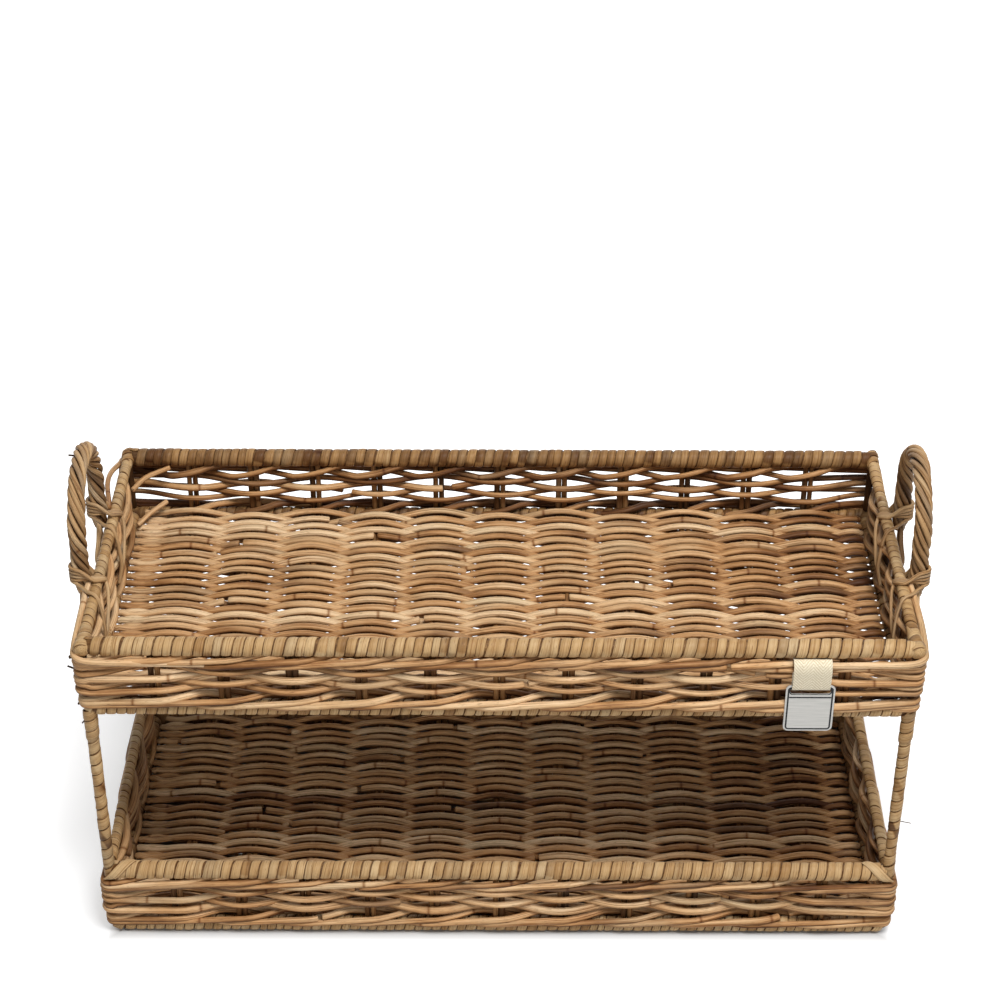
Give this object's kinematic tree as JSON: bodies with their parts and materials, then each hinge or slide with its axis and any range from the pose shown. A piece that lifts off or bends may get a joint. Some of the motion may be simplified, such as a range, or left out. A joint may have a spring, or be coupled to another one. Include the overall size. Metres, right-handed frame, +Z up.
{
  "type": "two-tier rattan tray",
  "caption": "Two-tier woven rattan tray: oblong trays on wound corner posts, roped handles at the ends and a small metal plate swinging on a cotton tape.",
  "frame": {"origin": "centre of the footprint, on the ground under the lower tray", "axes": "+X to the right along the long side, +Y from front to back, +Z up"},
  "size_m": [0.6308, 0.2631, 0.3563],
  "materials": {
    "stake": "natural rattan rod",
    "weaver": "natural rattan strand, light satin",
    "cane": "split cane with its glossy skin",
    "handle": "twisted rattan rods, matt",
    "cotton": "cream herringbone tape",
    "plate": "satin grey, bare"
  },
  "bodies": {
    "tray": {"lower_foot_frame": "cane", "lower_base_weave": "weaver", "lower_rim_front": "cane", "lower_wall_front": "weaver", "lower_rim_back": "cane", "lower_wall_back": "weaver", "lower_rim_left": "cane", "lower_wall_left": "weaver", "lower_rim_right": "cane", "lower_wall_right": "weaver", "upper_foot_frame": "cane", "upper_base_weave": "weaver", "upper_rim_front": "cane", "upper_wall_front": "weaver", "upper_rim_back": "cane", "upper_wall_back": "weaver", "upper_rim_left": "cane", "upper_wall_left": "weaver", "upper_rim_right": "cane", "upper_wall_right": "weaver", "post_front_left": "stake", "post_winding_front_left": "cane", "upper_corner_stake_front_left": "stake", "post_front_right": "stake", "post_winding_front_right": "cane", "upper_corner_stake_front_right": "stake", "post_back_left": "stake", "post_winding_back_left": "cane", "upper_corner_stake_back_left": "stake", "post_back_right": "stake", "post_winding_back_right": "cane", "upper_corner_stake_back_right": "stake", "handle_left_strand_1": "handle", "handle_left_strand_2": "handle", "handle_left_strand_3": "handle", "handle_left_lashing_1": "weaver", "handle_left_lashing_2": "weaver", "handle_right_strand_1": "handle", "handle_right_strand_2": "handle", "handle_right_strand_3": "handle", "handle_right_lashing_1": "weaver", "handle_right_lashing_2": "weaver", "tag_tape": "cotton"},
    "tag": {"tag_plate": "plate"}
  },
  "joints": [
    {"name": "tag_swing", "type": "hinge", "parent": "tray", "child": "tag", "pos_m": [0.21975, -0.1304, 0.2442], "axis": [-1, 0, 0], "range_deg": [0, 110]}
  ]
}
